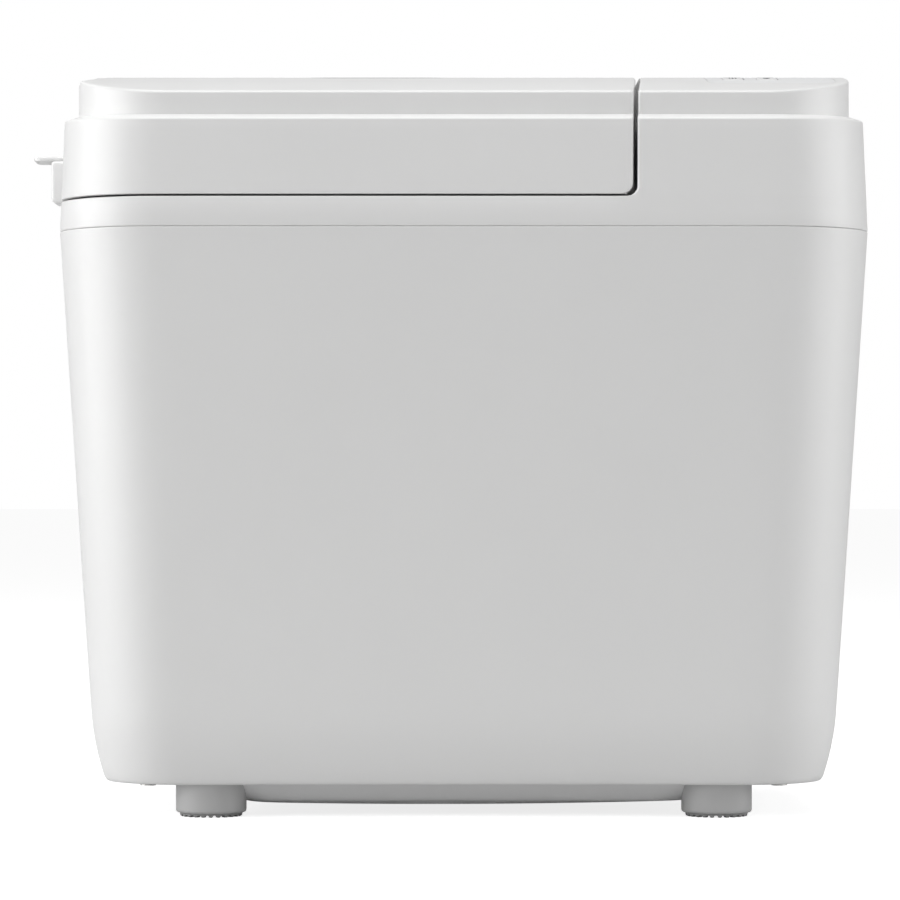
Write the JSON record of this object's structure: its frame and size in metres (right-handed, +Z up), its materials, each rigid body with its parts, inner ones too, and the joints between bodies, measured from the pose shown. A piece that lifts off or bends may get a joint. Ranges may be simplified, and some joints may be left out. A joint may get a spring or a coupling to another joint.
{
  "type": "bread machine",
  "caption": "Upright household bread machine with a rear-hinged lid, front control housing, lift-out loaf pan and a belt-driven kneading paddle.",
  "frame": {"origin": "middle of the whole length and width, rear lip included, on the plane of the feet's soles", "axes": "+Y to the hinged rear, -Y to the control housing, +X across the width, +Z up"},
  "size_m": [0.228, 0.374, 0.33],
  "materials": {
    "white_plastic": "satin white ABS with a faint moulded grain",
    "button_plastic": "pale grey keys",
    "grey_plastic": "light grey feet and underside moulding",
    "sole_rubber": "grey rubber",
    "fascia_plastic": "silver grey printed panel",
    "smoked_window": "smoked clear pane",
    "lcd_glass": "grey green liquid crystal",
    "circuit_board": "green solder mask",
    "chamber_steel": "aluminised sheet",
    "element_sheath": "dark oxidised sheath",
    "zinc_steel": "zinc plated sheet",
    "cast_alloy": "die cast alloy",
    "motor_iron": "varnished laminations",
    "copper_wire": "enamelled copper",
    "screw_steel": "bright steel",
    "capacitor_can": "aluminium can",
    "belt_rubber": "ribbed belt",
    "black_plastic": "black grommet",
    "pulley_plastic": "acetal",
    "nonstick_coat": "dark non-stick coating",
    "fan_plastic": "nylon",
    "liner_steel": "pressed aluminium liner",
    "clear_glass": "tempered glass",
    "seal_rubber": "grey silicone"
  },
  "bodies": {
    "housing": {"body_shell": "white_plastic", "base_pan": "grey_plastic", "foot_front_left": "grey_plastic", "foot_front_right": "grey_plastic", "foot_rear_left": "grey_plastic", "foot_rear_right": "grey_plastic", "foot_soles": "sole_rubber", "top_frame": "white_plastic", "panel_cover": "white_plastic", "control_fascia": "fascia_plastic", "display_window": "smoked_window", "display_module": "lcd_glass", "control_board": "circuit_board", "baking_chamber": "chamber_steel", "pan_seat": "chamber_steel", "heating_element": "element_sheath", "element_clips": "zinc_steel", "temperature_sensor": "zinc_steel", "heat_shield": "zinc_steel", "chassis": "zinc_steel", "chamber_posts": "zinc_steel", "bearing_housing": "cast_alloy", "motor_stator": "motor_iron", "motor_coils": "copper_wire", "motor_lower_bracket": "zinc_steel", "motor_upper_bracket": "zinc_steel", "motor_screws": "screw_steel", "motor_capacitor": "capacitor_can", "power_board": "circuit_board", "drive_belt": "belt_rubber", "cord_gland": "black_plastic", "hinge_bracket": "zinc_steel", "hinge_pin": "screw_steel", "base_screws": "screw_steel", "chamber_screws": "screw_steel"},
    "lid": {"lid_shell": "white_plastic", "lid_cover": "white_plastic", "lid_window": "smoked_window", "lid_liner": "liner_steel", "lid_glass": "clear_glass", "lid_seal": "seal_rubber", "hinge_cover": "white_plastic"},
    "pan": {"loaf_pan": "nonstick_coat", "pan_foot": "cast_alloy"},
    "bail": {"pan_handle": "screw_steel"},
    "kneader": {"drive_shaft": "screw_steel", "large_pulley": "pulley_plastic", "drive_coupling": "cast_alloy", "pan_coupling": "cast_alloy", "pan_shaft": "screw_steel", "kneading_paddle": "nonstick_coat"},
    "rotor": {"motor_shaft": "screw_steel", "motor_pulley": "screw_steel", "motor_fan": "fan_plastic"},
    "button_menu_key": {"button_menu": "button_plastic"},
    "button_crust_key": {"button_crust": "button_plastic"},
    "button_timer_up_key": {"button_timer_up": "button_plastic"},
    "button_timer_down_key": {"button_timer_down": "button_plastic"},
    "button_stop_key": {"button_stop": "button_plastic"},
    "button_start_key": {"button_start": "button_plastic"}
  },
  "joints": [
    {"name": "lid_hinge", "type": "hinge", "parent": "housing", "child": "lid", "pos_m": [0, 0.173, 0.281], "axis": [-1, 0, 0], "range_deg": [0, 98]},
    {"name": "pan_twist", "type": "hinge", "parent": "housing", "child": "pan", "pos_m": [0, 0.03799, 0.0762], "axis": [0, 0, 1], "range_deg": [0, 10]},
    {"name": "bail_hinge", "type": "hinge", "parent": "pan", "child": "bail", "pos_m": [0, 0.03799, 0.1942], "axis": [0, -1, 0], "range_deg": [0, 180]},
    {"name": "motor_turn", "type": "hinge", "parent": "housing", "child": "rotor", "pos_m": [0, -0.13076, 0.04], "axis": [0, 0, 1], "continuous": true},
    {"name": "kneader_turn", "type": "hinge", "parent": "housing", "child": "kneader", "pos_m": [0, 0.03799, 0.04], "axis": [0, 0, 1], "continuous": true},
    {"name": "menu_press", "type": "slide", "parent": "housing", "child": "button_menu_key", "axis": [0, 0, -1], "range_m": [0, 0.001], "stiffness_N_per_m": 250},
    {"name": "crust_press", "type": "slide", "parent": "housing", "child": "button_crust_key", "axis": [0, 0, -1], "range_m": [0, 0.001], "stiffness_N_per_m": 250},
    {"name": "timer_up_press", "type": "slide", "parent": "housing", "child": "button_timer_up_key", "axis": [0, 0, -1], "range_m": [0, 0.001], "stiffness_N_per_m": 250},
    {"name": "timer_down_press", "type": "slide", "parent": "housing", "child": "button_timer_down_key", "axis": [0, 0, -1], "range_m": [0, 0.001], "stiffness_N_per_m": 250},
    {"name": "stop_press", "type": "slide", "parent": "housing", "child": "button_stop_key", "axis": [0, 0, -1], "range_m": [0, 0.001], "stiffness_N_per_m": 250},
    {"name": "start_press", "type": "slide", "parent": "housing", "child": "button_start_key", "axis": [0, 0, -1], "range_m": [0, 0.001], "stiffness_N_per_m": 250}
  ],
  "couplings": [
    {"joint": "kneader_turn", "follows": "motor_turn", "ratio": 0.1875}
  ]
}
